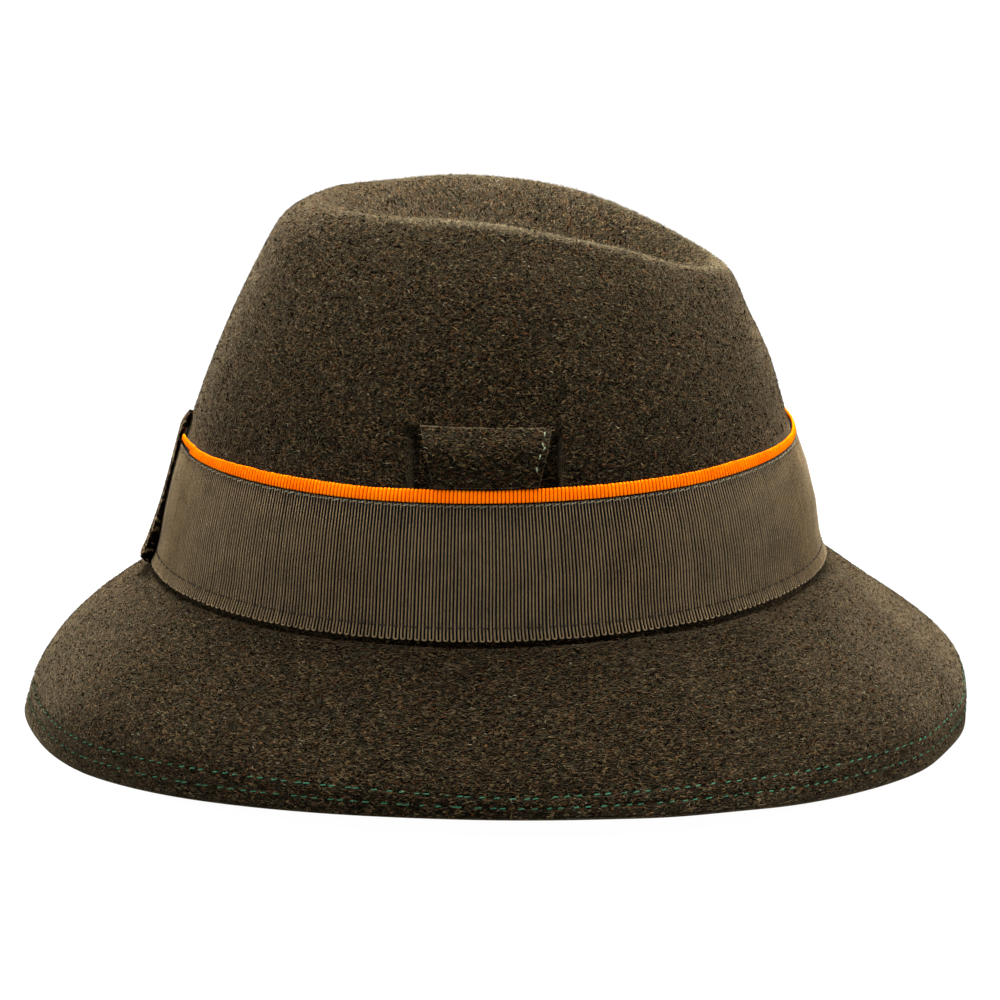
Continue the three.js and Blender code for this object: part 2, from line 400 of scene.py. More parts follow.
def felt_material(name, shade=1.0):
    """Heathered wool: short flecks of several browns, most of them lying round the hat, and paler hairs."""
    m = Shader(name, roughness=1.0, sheen=0.3, sheen_tint=(212, 190, 152), specular=0.0)
    base = unrolled(m)
    bend = m.add("VectorMath", {0: m.noise(base, 0.5, 2.0, "Color"), 1: FLECK_BEND}, operation="MULTIPLY")
    bent = m.add("VectorMath", {0: base, 1: bend.outputs["Vector"]}, operation="ADD").outputs["Vector"]

    colours, heights = [], []
    for rotation, per_mm, shift in FLECK_LAYERS:
        vector = m.coords(rotation, per_mm, bent, shift)
        flecks = m.add("TexVoronoi", {"Vector": vector, "Scale": 1.0}).outputs
        pick = m.add("SeparateColor", {"Color": flecks["Color"]}).outputs
        dye = m.ramp(pick["Blue"], FLECK_DYES)
        colours.append(m.mix(1.0, m.ramp(pick["Red"], FLECK_TONES), dye, "MULTIPLY"))
        heights.append(m.maths("MULTIPLY", pick["Green"], m.maths("SUBTRACT", 1.0, flecks["Distance"])))
    layer = m.ramp(m.noise(bent, 0.9, 2.0), [(0.47, 0.0), (0.53, 1.0)])
    colour = m.mix(layer, colours[0], colours[1])

    vector = m.coords(HAIR_TURN, HAIRS_PER_MM, bent)
    hairs = m.add("TexVoronoi", {"Vector": vector, "Scale": 1.0}).outputs
    pick = m.add("SeparateColor", {"Color": hairs["Color"]}).outputs
    few = m.ramp(pick["Red"], [(0.8, 0.0), (0.84, 1.0)])
    narrow = m.ramp(hairs["Distance"], [(0.2, 1.0), (0.34, 0.0)])
    colour = m.mix(m.maths("MULTIPLY", few, narrow), colour, m.ramp(pick["Green"], HAIR_TONES))

    wide = m.noise(m.coords(scale=(0.45, 1, 1), source=base), 0.13, 3.0)
    # shade darkens the whole felt. Below 1 it makes a copy with painted shade, as on the loop.
    cloud = m.ramp(wide, [(0.3, 0.82 * shade), (0.7, 1.0 * shade)])
    colour = m.mix(1.0, colour, cloud, "MULTIPLY")
    m.set(m.surface, {"Base Color": colour, "Sheen Roughness": 0.45})
    m.bump(m.maths("ADD", heights[0], heights[1]), FELT_RELIEF, 1.0)
    return m.material


def thread_material(name, colour, dark, roughness=0.7, sheen=0.2, pitch=0.35, specular=0.2):
    """Yarn, uneven along and across it. pitch is the size of its fine grain, in millimetres."""
    m = Shader(name, roughness=roughness, sheen=sheen, sheen_tint=SHEEN_TINT, specular=specular)
    base = m.coords()
    fine = m.noise(base, 1 / pitch, 2.0)
    wide = m.noise(base, 0.12, 2.0)
    shade = m.maths("ADD", m.maths("MULTIPLY", fine, 0.7), m.maths("MULTIPLY", wide, 0.3))
    m.set(m.surface, {"Base Color": m.ramp(shade, [(0.32, dark), (0.62, colour)])})
    m.bump(fine, YARN_RELIEF, 0.6)
    return m.material


def strap_material(name, light, dark, level):
    """Mottled cloth with a fine grain: dark where a wide noise lies over a level, and light elsewhere."""
    m = Shader(name, roughness=0.95, specular=0.0)
    base = m.coords()
    patches = m.ramp(m.noise(base, 0.62, 3.0), [(level - 0.03, 0.0), (level + 0.03, 1.0)])
    fine = m.noise(base, 3.0, 2.0)
    pale = m.ramp(fine, [(0.35, toned(light, 0.6)), (0.65, light)])
    deep = m.ramp(fine, [(0.35, toned(dark, 0.4)), (0.65, dark)])
    m.set(m.surface, {"Base Color": m.mix(patches, pale, deep)})
    m.bump(fine, STRAP_RELIEF, 0.7)
    return m.material


def fibre_material(name, colour):
    """Wool of one dye, a little uneven from fibre to fibre."""
    m = Shader(name, roughness=0.95, specular=0.0)
    tones = [(0.35, toned(colour, 0.72)), (0.65, toned(colour, 1.2))]
    m.set(m.surface, {"Base Color": m.ramp(m.noise(m.coords(), 0.8, 1.0), tones)})
    return m.material


felt_cloth = felt_material("wool_felt")
# A darker copy of the felt for the loop: painted shade, because the loop's face catches more light than the
# crown.
loop_cloth_shaded = felt_material("loop_wool_felt_shaded", shade=0.8)
# Paler felt on the loop's top edge: a painted highlight where light from above catches it.
cut_felt_highlight = thread_material("cut_felt_edge_highlight", (66, 57, 41), (20, 16, 11),
                           roughness=0.95, sheen=0.0, pitch=0.7, specular=0.0)
rib_yarn = thread_material("ribbon_yarn", (124, 104, 73), (64, 53, 36),
                           roughness=0.8, sheen=0.45, specular=0.1)
# Near-black: painted shade in the gaps between the ribbon's ribs.
ribbon_ground_shade = thread_material("ribbon_ground_shade", (7, 5, 4), (3, 2, 2), roughness=0.9, sheen=0.0)
orange_yarn = thread_material("orange_yarn", (255, 134, 4), (250, 88, 2),
                              roughness=0.9, sheen=0.0, pitch=0.4, specular=0.0)
# A darker orange for the quads in the piping's grooves: painted shade between the ribs.
orange_groove_shade = thread_material("orange_groove_shade", (206, 66, 0), (168, 46, 0),
                                roughness=0.9, sheen=0.0, pitch=0.4, specular=0.0)
green_thread = thread_material("green_thread", (42, 112, 80), (22, 68, 48), pitch=0.5)
dark_thread = thread_material("dark_thread", (30, 25, 18), (12, 10, 7), roughness=0.8, sheen=0.0, pitch=0.5)
grey_thread = thread_material("grey_thread", (112, 112, 92), (62, 62, 48), pitch=0.5)
pale_thread = thread_material("pale_thread", (132, 140, 110), (60, 68, 52), pitch=0.5)
strap_front = strap_material("strap_face", (150, 128, 98), (44, 34, 24), 0.45)
# Near-black back and sides: the strap's dark backing, and painted shade of the hollow under it.
strap_backing_and_shade = strap_material("strap_backing_and_shade", (84, 68, 48), (9, 7, 5), 0.41)


# The felt body: outside, cut edge and inside in one mesh.

# The pocket behind the loop: the crown is pressed in there, a little wider than the loop.
POCKET = {"back": -26.4, "front": 20.4, "soft_back": 2.6, "soft_front": 1.0,
          "foot": 5.7, "soft_foot": 0.2, "top": 6.57, "soft_top": 0.06, "depth": 3.8}
COLUMNS = 384
# Finer columns cover the pocket: their number, where they start and end along X, measured at this place.
POCKET_COLUMNS = 110
POCKET_SPAN = (-31.0, 25.0)
POCKET_MIDDLE = 6.3
# Rows of points, closer together where the felt bends: from this place, up to this one, by this step.
ROW_SPANS = ((0, 0.9, 0.035), (0.9, 3.5, 0.1), (3.5, 4.1, 0.06), (4.2, 6, 0.3), (6, 6.7, 0.03),
             (6.7, 8, 0.1), (8, LAST, 0.1))
INNER_ROW_SPAN = (0.25, LAST, 0.3)
# The brim's two rows of stitches lie this far in from its edge, each in a shallow groove.
STITCH_ROWS = (4.5, 9.0)
STITCH_GROOVE = {"depth": 0.3, "width": 0.8}
# The groove round the foot of the crown, under the ribbon's edge.
FOOT_GROOVE = {"at": 3.88, "depth": 1.3, "width": 0.2}
# The felt thins from the brim's thickness to the crown's from this place, over this span.
THIN_FROM = 2
THIN_SPAN = 2
# How far the cut edge bulges, in millimetres, and how round the bottom of the dent is.
EDGE_BULGE = 0.5
DENT_ROUNDING = 0.3


def pocket(angle, at):
    """How far the crown is pressed in behind the loop."""
    x = felt(angle, at)[..., 0]
    across = (ease((x - POCKET["back"]) / POCKET["soft_back"])
              * ease((POCKET["front"] - x) / POCKET["soft_front"]))
    up = (ease((at - POCKET["foot"]) / POCKET["soft_foot"])
          * ease((POCKET["top"] - at) / POCKET["soft_top"]))
    return POCKET["depth"] * across * up * (np.sin(angle) < 0)


def felt_columns():
    """The angles of the felt's columns of points."""
    first, last = side_angle(np.array(POCKET_SPAN), POCKET_MIDDLE) + 2 * math.pi
    return np.concatenate([
        np.linspace(first, last, POCKET_COLUMNS, endpoint=False),
        np.linspace(last, first + 2 * math.pi, COLUMNS - POCKET_COLUMNS, endpoint=False),
    ])


def felt_outside():
    """The outside's points and normals, with its grooves and the pocket."""
    angle, at = np.meshgrid(angles, stations)
    run = lengths_along(felt(angle, at))
    groove = -STITCH_GROOVE["depth"] * sum(bell(run - row, STITCH_GROOVE["width"]) for row in STITCH_ROWS)
    groove -= FOOT_GROOVE["depth"] * bell(at - FOOT_GROOVE["at"], FOOT_GROOVE["width"])
    return skin(angle, at, groove - pocket(angle, at))


def felt_inside():
    """The inside's points, which lie a wall behind the outside."""
    angle, at = np.meshgrid(angles, np.concatenate([[0], np.arange(*INNER_ROW_SPAN), [LAST]]))
    wall = BRIM_FELT + (CROWN_FELT - BRIM_FELT) * ease((at - THIN_FROM) / THIN_SPAN)
    return skin(angle, at, -wall - pocket(angle, at))[0]


def felt_edge(inner):
    """Rings over the brim's cut edge, a little rounded."""
    away = unit(outer[0] - outer[1])
    rings = []
    for s in (0.12, 0.35, 0.65, 0.88):
        p = outer[0] * (1 - s) + inner[0] * s + away * EDGE_BULGE * math.sin(math.pi * s) ** 0.5
        p[:, 2] = np.maximum(p[:, 2], 0.0)
        rings.append(p)
    return np.array(rings)


def closing(last_ring, drop):
    """Rings from the dent's last section in to its lowest point, and that point."""
    tip = np.array(DENT_BOTTOM) - [0, 0, drop]
    rounding = (last_ring[:, 2].mean() - tip[2]) * DENT_ROUNDING
    rings = [last_ring * (1 - s) + (tip + [0, 0, rounding * (1 - s)]) * s for s in (0.3, 0.6, 0.85)]
    return np.array(rings), tip


def felt_hat():
    """The felt as one closed mesh."""
    inner = felt_inside()
    outer_close, outer_tip = closing(outer[-1], 0)
    inner_close, inner_tip = closing(inner[-1], CROWN_FELT)
    shell = np.concatenate([inner_close[::-1], inner[::-1], felt_edge(inner)[::-1], outer, outer_close])
    rows = len(shell)
    points = np.concatenate([shell.reshape(-1, 3), [inner_tip], [outer_tip]])
    column = np.arange(COLUMNS)
    beside = (column + 1) % COLUMNS
    top_row = (rows - 1) * COLUMNS
    tip = np.full(COLUMNS, rows * COLUMNS)
    fans = np.concatenate([np.stack([beside, column, tip], -1),
                           np.stack([top_row + column, top_row + beside, tip + 1], -1)])
    hat = make_mesh("felt_hat", points, grid_quads(rows, COLUMNS), [felt_cloth], fans)
    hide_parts("felt_body")


angles = felt_columns()
stations = np.concatenate([*(np.arange(*span) for span in ROW_SPANS), [LAST]])
outer, outer_normals = felt_outside()
felt_hat()


# The ribbon: a cord for each rib, joined in pairs at the lower edge, over a near-black ground that is painted
# shade between the ribs.

RIB_PAIRS = 282
RIB_RADIUS = 0.235
# The ribs are evenly spaced at this place, and stray sideways and in height by this, in millimetres.
RIB_LINE = 4.9
RIB_STRAY = 0.03
# The row of stitches that gathers the ribs above their looped foot.
SEAM_AT = 4.27
SEAM = {"depth": 0.3, "width": 0.022}
# How much the feet of the ribs differ in place, and how far their turn reaches down, in sections.
FOOT_STRAY = 0.006
FOOT_ROUND = 0.028
# The ribbon lies flat from here up, and stands off more and more over this span below.
FLAT_FROM = 4.5
STANDOFF_SPAN = 0.5
GROUND_COLUMNS = 288
GROUND_ROWS = np.array([RIBBON_FOOT + 0.02, 4.25, 4.5, 4.75, 5, 5.25, 5.5, RIBBON_TOP])
# Heights of the ground's outside and inside over the ribbon's clear height.
GROUND_HEIGHTS = (0.42, 0.05)


def ribbon_lift(at):
    """Clear height under the ribbon, which stands away from the felt at its foot."""
    share = np.clip((FLAT_FROM - np.asarray(at, float)) / STANDOFF_SPAN, 0, 1)
    return BAND_GAP + (RIBBON_FOOT_STANDOFF - BAND_GAP) * share


def ribbon_back():
    """The ground between the ribs, a closed hoop. Its near-black colour is painted shade in the gaps."""
    angle, at = np.meshgrid(np.arange(GROUND_COLUMNS) / GROUND_COLUMNS * 2 * math.pi, GROUND_ROWS)
    outside, inside = [skin(angle, at, ribbon_lift(at) + height)[0] for height in GROUND_HEIGHTS]
    rings = np.concatenate([outside, inside[::-1]])
    quads = grid_quads(len(rings), GROUND_COLUMNS, along=True)
    ground = make_mesh("ribbon_ground_shade", rings, quads, [ribbon_ground_shade])
    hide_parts("ribbon_band")


def ribbon_ribs():
    """The ribs. Each thread goes down one rib, round at the foot and up the next."""
    rib_angles = even_angles(RIB_LINE, RIB_PAIRS * 2) + rng.normal(0, RIB_STRAY / CROWN_RADIUS, RIB_PAIRS * 2)
    left, right = rib_angles[0::2, None], rib_angles[1::2, None]
    straight = np.array([RIBBON_TOP - 0.004, 5.3, 4.8, 4.45, SEAM_AT + 0.06, SEAM_AT + 0.025, SEAM_AT,
                         SEAM_AT - 0.025, SEAM_AT - 0.07, RIBBON_FOOT + 0.045])
    down = np.tile(straight, (RIB_PAIRS, 1))
    down[:, -1] += rng.normal(0, FOOT_STRAY, RIB_PAIRS)
    turn = np.linspace(0, math.pi, 7)[1:-1]
    under = (left + right) / 2 - (right - left) / 2 * np.cos(turn)
    angle = np.concatenate([np.tile(left, len(straight)), under, np.tile(right, len(straight))], 1)
    at = np.concatenate([down, down[:, -1:] - FOOT_ROUND * np.sin(turn), down[:, ::-1]], 1)
    sway = rng.normal(0, RIB_STRAY, (RIB_PAIRS, 1)) * np.sin(at * 2.5 + rng.uniform(*PHASES, (RIB_PAIRS, 1)))
    pulled = SEAM["depth"] * bell(at - SEAM_AT, SEAM["width"])
    height = ribbon_lift(at) + RIBBON_WALL - RIB_RADIUS - pulled + rng.normal(0, RIB_STRAY, (RIB_PAIRS, 1))
    path, normals = skin(angle + sway / CROWN_RADIUS, at, height)
    points, quads, fans = tubes(path, normals, RIB_RADIUS, sides=8)
    make_mesh("ribbon_ribs", points, quads, [rib_yarn], fans)


ribbon_back()
ribbon_ribs()


# Rows of stitches.

STITCH_SIDES = 5
# How deep the ends of a stitch go into the cloth, in millimetres.
STITCH_SINK = 0.5
# How far the stitches under the brim stand proud of it, and how deep the seam's lie in the ribbon.
UNDER_BRIM_PROUD = 0.1
SEAM_STITCH_DEPTH = 0.08
# How far below the ribbon's top edge its upper row of stitches lies, in sections.
TOP_ROW_DROP = 0.03


def stitch_row(place_of, at, lift, length, radius, pitch, tilt=0.0, wander=0.08, steps=7):
    """Short threads along a row, their ends sunk into the cloth.

    place_of gives the row's place from the angle, and lift its height from the place. The length of the
    row, which sets the number of stitches, is measured round the felt at one place, at.
    """
    total = around_ring(at)[1][-1]
    count = int(round(total / pitch))
    centres = even_angles(at, count) + rng.normal(0, wander * pitch / STITCH_RADIUS, count)
    half = (length / total * 2 * math.pi) / 2
    s = np.linspace(-1, 1, steps)
    angle = centres[:, None] + half * s
    where = place_of(angle) + tilt * s + rng.normal(0, 0.1, (count, 1)) * tilt
    height = lift(where) + 0.5 * radius - STITCH_SINK * s**4
    path, normals = skin(angle, where, height)
    return tubes(path, normals, radius * rng.uniform(0.9, 1.1, (count, 1)), STITCH_SIDES)


def brim_row(distance, lift):
    """A row of stitches at a distance from the brim's edge."""
    turn = np.linspace(0, 2 * math.pi, 721)
    place = at_from_edge(turn, distance)
    return stitch_row(lambda angle: np.interp(np.mod(angle, 2 * math.pi), turn, place), float(place.mean()),
                      lambda at: lift, length=2.6, radius=0.2, pitch=4.0, tilt=0.02, wander=0.12, steps=5)


def brim_stitches():
    """Both rows, on top of the brim and under it."""
    lifts = (-STITCH_GROOVE["depth"], -BRIM_FELT - UNDER_BRIM_PROUD)
    points, quads, fans = join([brim_row(distance, lift) for lift in lifts for distance in STITCH_ROWS])
    make_mesh("brim_stitches", points, quads, [green_thread], fans)


def ribbon_foot_stitches():
    """The dark stitches of the seam that gathers the ribs above their foot."""
    points, quads, fans = stitch_row(lambda angle: SEAM_AT, SEAM_AT,
                                     lambda at: ribbon_lift(at) + RIBBON_WALL - SEAM_STITCH_DEPTH,
                                     length=2.3, radius=0.17, pitch=3.3, steps=5)
    make_mesh("ribbon_foot_stitches", points, quads, [dark_thread], fans)


def ribbon_top_stitches():
    """The grey stitches along the ribbon's top, below the piping."""
    points, quads, fans = stitch_row(lambda angle: RIBBON_TOP - TOP_ROW_DROP, RIBBON_TOP,
                                     lambda at: ribbon_lift(at) + RIBBON_WALL,
                                     length=2.0, radius=0.15, pitch=2.6, tilt=0.012)
    make_mesh("ribbon_top_stitches", points, quads, [grey_thread], fans)


brim_stitches()
ribbon_foot_stitches()
ribbon_top_stitches()


# The orange piping: a folded ribbed strip, its end lying higher than its start near the strap.

# The ribs' pitch along the strip, in millimetres, and the rows of points in each.
PIPING_PITCH = 1.16
RIB_STEPS = 8
# Columns: place up the strip, depth through it, and how much the ribs scallop it there.
PIPING_PROFILE = np.array([
    [0.0, 0.15, 0.3], [0.0, 0.7, 0.6], [0.08, 0.95, 0], [0.5, 1.0, 0], [0.86, 0.97, 0], [0.98, 0.78, 1],
    [1.0, 0.5, 1], [0.97, 0.2, 0.6], [0.5, 0.12, 0],
])
# The strip's length is measured at this place.
PIPING_LINE = 5.95
# How far the strip stands off and how deep the grooves between its ribs are, in millimetres.
PIPING_PROUD = 0.06
GROOVE_DEPTH = 0.62
# The power that shapes a rib, 1 for a sine and less for a fuller one, and how much its edges differ.
RIB_ROUNDNESS = 0.55
UNEVEN = 0.12
# How far the strip sways up and down, how deep its edges are scalloped, and how much lower it is at the
# front and the back of the hat, all in sections, and how far it stands off more there, in millimetres.
PIPING_SWAY = 0.018
SCALLOP = 0.017
END_LOWER = 0.07
END_LIFT = 0.4
# The long run goes round the hat, and a short one lies beside the strap: where they start and end, in
# millimetres to the left of the middle of the back, how far up the felt and how far off it they are
# raised, in sections and in millimetres, and their height's share of the whole.
LONG_RUN = {"start": -22, "end": 3.0, "raised": 0.0, "outward": 0.0, "tall": 1.0}
SHORT_RUN = {"start": -9.5, "end": -25.5, "raised": 0.05, "outward": 0.1, "tall": 0.8}
PIPING_DRIFT = [(k, rng.uniform(0.1, 0.2), rng.uniform(*PHASES)) for k in (3, 7, 11, 17)]
BACK_REACH = float(felt(math.pi / 2, PIPING_LINE)[1])


def back_angle(y):
    """The angle at which the piping lies y millimetres to the left of the middle of the back."""
    return math.pi - math.asin(y / BACK_REACH)


def piping_run(run_of, turns):
    """A stretch of the strip with its two ends closed, and which of its quads lie in its grooves, where the
    darker orange is painted shade.
    """
    line = np.linspace(back_angle(run_of["start"]), back_angle(run_of["end"]) + turns * 2 * math.pi, 2001)
    run = lengths_along(felt(line, PIPING_LINE))
    ribs = int(run[-1] / PIPING_PITCH)
    count = ribs * RIB_STEPS + 1
    angle = np.interp(np.linspace(0, run[-1], count), run, line)
    relief = np.abs(np.sin(math.pi * np.arange(count) / RIB_STEPS)) ** RIB_ROUNDNESS
    uneven = np.interp(np.arange(count) / RIB_STEPS, np.arange(ribs + 2), rng.normal(0, UNEVEN, ribs + 2))
    drift = sum(amount * np.sin(k * angle + phase) for k, amount, phase in PIPING_DRIFT)
    endwise = np.abs(np.cos(angle))
    height = (PIPING_TOP - PIPING_FOOT) * run_of["tall"] - END_LOWER * endwise**8
    rings = []
    for u, depth, scallop in PIPING_PROFILE:
        sway = drift * PIPING_SWAY * (0.3 + 0.7 * u)
        notch = (relief - 0.7 + uneven) * SCALLOP * scallop * (1 if u > 0.5 else -1)
        at = PIPING_FOOT + height * u + sway + run_of["raised"] + notch
        groove = (relief - 1) * GROOVE_DEPTH * (depth > 0.4)
        lift = BAND_GAP + depth * PIPING_WALL + groove + PIPING_PROUD + run_of["outward"]
        lift = lift + END_LIFT * endwise**4
        rings.append(skin(angle, at, lift)[0])
    n = len(rings)
    points = np.array(rings).transpose(1, 0, 2).reshape(-1, 3)
    fan = np.array([[0, k + 1, k] for k in range(1, n - 1)])
    caps = np.concatenate([fan, fan[:, ::-1] + (count - 1) * n])
    # The quads beside each groove take the painted groove shade.
    shaded_groove_quads = np.isin(np.repeat(np.arange(count - 1) % RIB_STEPS, n), (0, RIB_STEPS - 1))
    return points, grid_quads(count, n), caps, shaded_groove_quads


def piping():
    """Both runs in one piece."""
    runs = [piping_run(LONG_RUN, turns=1), piping_run(SHORT_RUN, turns=0)]
    points, quads, caps = join([run[:3] for run in runs])
    kinds = np.concatenate([*[run[3] for run in runs], np.zeros(len(caps))])
    strip = make_mesh("piping_strip", points, quads, [orange_yarn, orange_groove_shade],
                      caps, indices=kinds)
    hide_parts("orange_piping")


piping()


# Bent flat pieces with rounded edges.

# How far through the piece its four layers lie, and whether their borders are pulled in.
SLAB_LAYERS = ((1.0, True), (0.85, False), (0.15, False), (0.0, True))


def pull_in(grid, inset):
    """Moves the four borders of a grid of points in."""
    borders = ((grid[:, 0], grid[:, 1]), (grid[:, -1], grid[:, -2]), (grid[0], grid[1]), (grid[-1], grid[-2]))
    for border, beside in borders:
        border += unit(beside - border) * inset


def slab(name, rows_of, materials, node, edge_round, top_highlight_only=False):
    """A bent flat piece: rows_of gives its points at a depth through it.

    The first material is its face. The last is its back and its sides, or only its top edge, where it is a
    painted highlight.
    """
    face_out, face_in = rows_of(1.0), rows_of(0.0)
    rows, columns = face_out.shape[:2]
    layers = []
    for through, pulled in SLAB_LAYERS:
        layer = face_in + (face_out - face_in) * through
        if pulled:
            pull_in(layer, edge_round)
        layers.append(layer)
    border = ([(0, c) for c in range(columns)]
              + [(r, columns - 1) for r in range(1, rows)]
              + [(rows - 1, c) for c in range(columns - 2, -1, -1)]
              + [(r, 0) for r in range(rows - 2, 0, -1)])
    rims = [np.array([layer[r, c] for r, c in border]) for layer in layers[1:3]]
    points = np.concatenate([layers[0].reshape(-1, 3), layers[3].reshape(-1, 3), *rims])
    size = rows * columns
    front = grid_quads(rows, columns, around=False)
    back = grid_quads(rows, columns, around=False, start=size)[:, ::-1]
    front_border = np.array([r * columns + c for r, c in border])
    rim = 2 * size + np.arange(len(border))
    chains = [front_border, rim, rim + len(border), front_border + size]
    sides = [np.stack([a, b, np.roll(b, -1), np.roll(a, -1)], -1) for a, b in zip(chains, chains[1:])]
    quads = np.concatenate([front, back, *sides])
    kinds = np.full(len(quads), len(materials) - 1)
    kinds[:len(front)] = 0
    # Only the top edge takes the last material, as a painted highlight.
    if top_highlight_only:
        kinds[:len(front) + len(back)] = 0
        highlit_top = np.array([r == rows - 1 for r, c in border])
        kinds[len(front) + len(back):] = np.tile(highlit_top & np.roll(highlit_top, -1), 3) * (len(materials) - 1)
    piece = make_mesh(name, points, quads, materials, indices=kinds)
    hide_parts(node)


# The felt loop on the wearer's right side.

LOOP_ROWS = 33
LOOP_COLUMNS = 49
# Pale stitches at the loop's front edge: share of its height, distance from the edge, half length, lean.
LOOP_STITCHES = ((0.87, 1.9, 0.95, 0.1), (0.69, 1.75, 0.8, -0.35), (0.63, 1.2, 0.6, 0.5),
                 (0.5, 2.0, 0.85, 0.25), (0.3, 2.1, 0.95, -0.15))
LOOP_STITCH_RADIUS = 0.21
LOOP_STITCH_LIFT = 0.2
# How many sections a millimetre up the crown is behind the loop.
SECTIONS_PER_MM = 0.028


def loop_section(v):
    """The loop at a share of its height: its place, half its length, and its clear height over the felt."""
    at = LOOP["foot"] + (LOOP["top"] - LOOP["foot"]) * v
    half = LOOP["foot_half"] + (LOOP["top_half"] - LOOP["foot_half"]) * v
    return at, half, LOOP["gap"] + LOOP["bulge"] * math.sin(math.pi * v)


def loop_face(through):
    """Rows of points over the loop, at a depth through it."""
    u = np.linspace(-1, 1, LOOP_COLUMNS)
    rows = []
    for v in np.linspace(0, 1, LOOP_ROWS):
        at, half, lift = loop_section(v)
        angle = side_angle(LOOP["x"] + half * u, at)
        rows.append(skin(angle, at, lift + through * LOOP["wall"])[0])
    return np.array(rows)


def loop_stitches():
    """The pale stitches in a column, each bent down into the loop at its ends."""
    s = np.linspace(-1, 1, 7)
    column = []
    for v, inset, half_length, lean in LOOP_STITCHES:
        at, half, lift = loop_section(v)
        x = LOOP["x"] + half - inset + lean * half_length * s
        place = at + s * half_length * SECTIONS_PER_MM
        height = lift + LOOP["wall"] + LOOP_STITCH_LIFT - STITCH_SINK * np.abs(s) ** 4
        path, normals = skin(side_angle(x, at), place, height)
        column.append(tubes(path[None], normals[None], LOOP_STITCH_RADIUS, sides=7))
    points, quads, fans = join(column)
    make_mesh("loop_stitches", points, quads, [pale_thread], fans)


slab("loop_flap", loop_face, [loop_cloth_shaded, cut_felt_highlight], "felt_loop", edge_round=0.35, top_highlight_only=True)
loop_stitches()


# The back strap: mottled cloth with a dark backing, which fills up to the ribbon. The backing's near-black is
# partly the cloth's own colour and partly painted shade of the hollow under the strap.

STRAP_ROWS = 105
STRAP_COLUMNS = 49
# How many rows the strap's profile is smoothed over.
STRAP_SMOOTHING = 7
# Fine ribs across it: their height, and how far each row of points is along their wave, in radians.
STRAP_RIB = {"height": 0.1, "turn": 2.1}
# The backing starts this far in from the near edge and is full a little further on. It comes down to
# these heights over the felt, above the piping and over the ribbon.
BACKING_AND_SHADE = {"from": 1.2, "soft": 1.6, "over_felt": 0.2, "over_ribbon": 1.5}


def strap_face(through):
    """Rows of points over the strap, at a depth through it."""
    v = np.linspace(0, len(TAB_PROFILE) - 1, STRAP_ROWS)
    profile = [np.interp(v, np.arange(len(TAB_PROFILE)), column) for column in TAB_PROFILE.T]
    kernel = np.ones(STRAP_SMOOTHING) / STRAP_SMOOTHING
    soft = [np.convolve(np.pad(p, STRAP_SMOOTHING // 2, mode="edge"), kernel, "valid") for p in profile]
    across = TAB["half_width"] * np.linspace(1, -1, STRAP_COLUMNS)
    # The dark fill closes the hollow under the strap: partly backing, partly painted shade.
    backing_and_shade_fill = ease((across + TAB["half_width"] - BACKING_AND_SHADE["from"]) / BACKING_AND_SHADE["soft"])
    top = TAB_PROFILE[-1, 0]
    rows = []
    for k, (at, lift, wall) in enumerate(zip(*soft)):
        share = max(0.0, (at - TAB["slant_from"]) / (top - TAB["slant_from"]))
        here = at - TAB["slant"] * across * share
        angle = math.pi - np.arcsin((TAB["y"] + across) / felt(math.pi / 2, at)[1])
        rib = STRAP_RIB["height"] * math.sin(k * STRAP_RIB["turn"]) if through else 0.0
        under = (BACKING_AND_SHADE["over_felt"] if at > PIPING_TOP else BACKING_AND_SHADE["over_ribbon"]) - lift
        height = lift + through * (wall + rib) + (1 - through) * backing_and_shade_fill * min(under, 0)
        rows.append(skin(angle, here, height)[0])
    return np.array(rows)


slab("back_strap", strap_face, [strap_front, strap_backing_and_shade], "back_tab", edge_round=0.22)


# Loose wool fibres over the felt, a mesh for each colour.

# Places without fibres: the brim's cut edge, and the band under the ribbon and the piping.
BARE_EDGE = 0.15
BARE_BAND = (3.9, 6.02)
# Fibres lie round the hat, but from this place on they lie up and down the walls of the dent.
DENT_FROM = 10.3
# The fibres that stand up on the ridge are sown this wide, in sections. There are fewer at the back,
# by how far back the angle points: 0 at the sides, 1 at the middle of the back.
RIDGE_WIDTH = 0.42
FEWER_AT_BACK = {"from": 0.35, "soft": 0.5, "share": 0.85}
# Columns: name, count, colour, length, width, and how steeply the fibres rise.
FIBRES = [
    ("fibres_tan", 32000, (98, 80, 54), 1.7, 0.11, 0.45),
    ("fibres_pale", 3000, (132, 125, 102), 1.4, 0.1, 0.5),
    ("fibres_brown", 32000, (45, 33, 21), 1.6, 0.13, 0.3),
    ("fibres_dark", 54000, (4, 3, 2), 1.6, 0.23, 0.22),
    ("fibres_olive", 24000, (52, 54, 41), 1.5, 0.12, 0.35),
    ("fibres_rust", 19000, (76, 46, 25), 1.5, 0.13, 0.3),
]
# Real fuzz on the ridge, paler than the felt, so that it also paints the ridge's highlight.
RIDGE_FIBRES_HIGHLIGHT = ("fibres_ridge_highlight", 7000, (98, 89, 68), 1.1, 0.1, 1.0)
# How much fibres differ: in direction and bend, in radians, in the tilt of their width, and in size.
FIBRE_TURN = 0.55
FIBRE_BEND = 0.7
FIBRE_TILT = 0.35
FIBRE_SIZES = (0.6, 1.3)
ROOT_DEPTH = 0.04


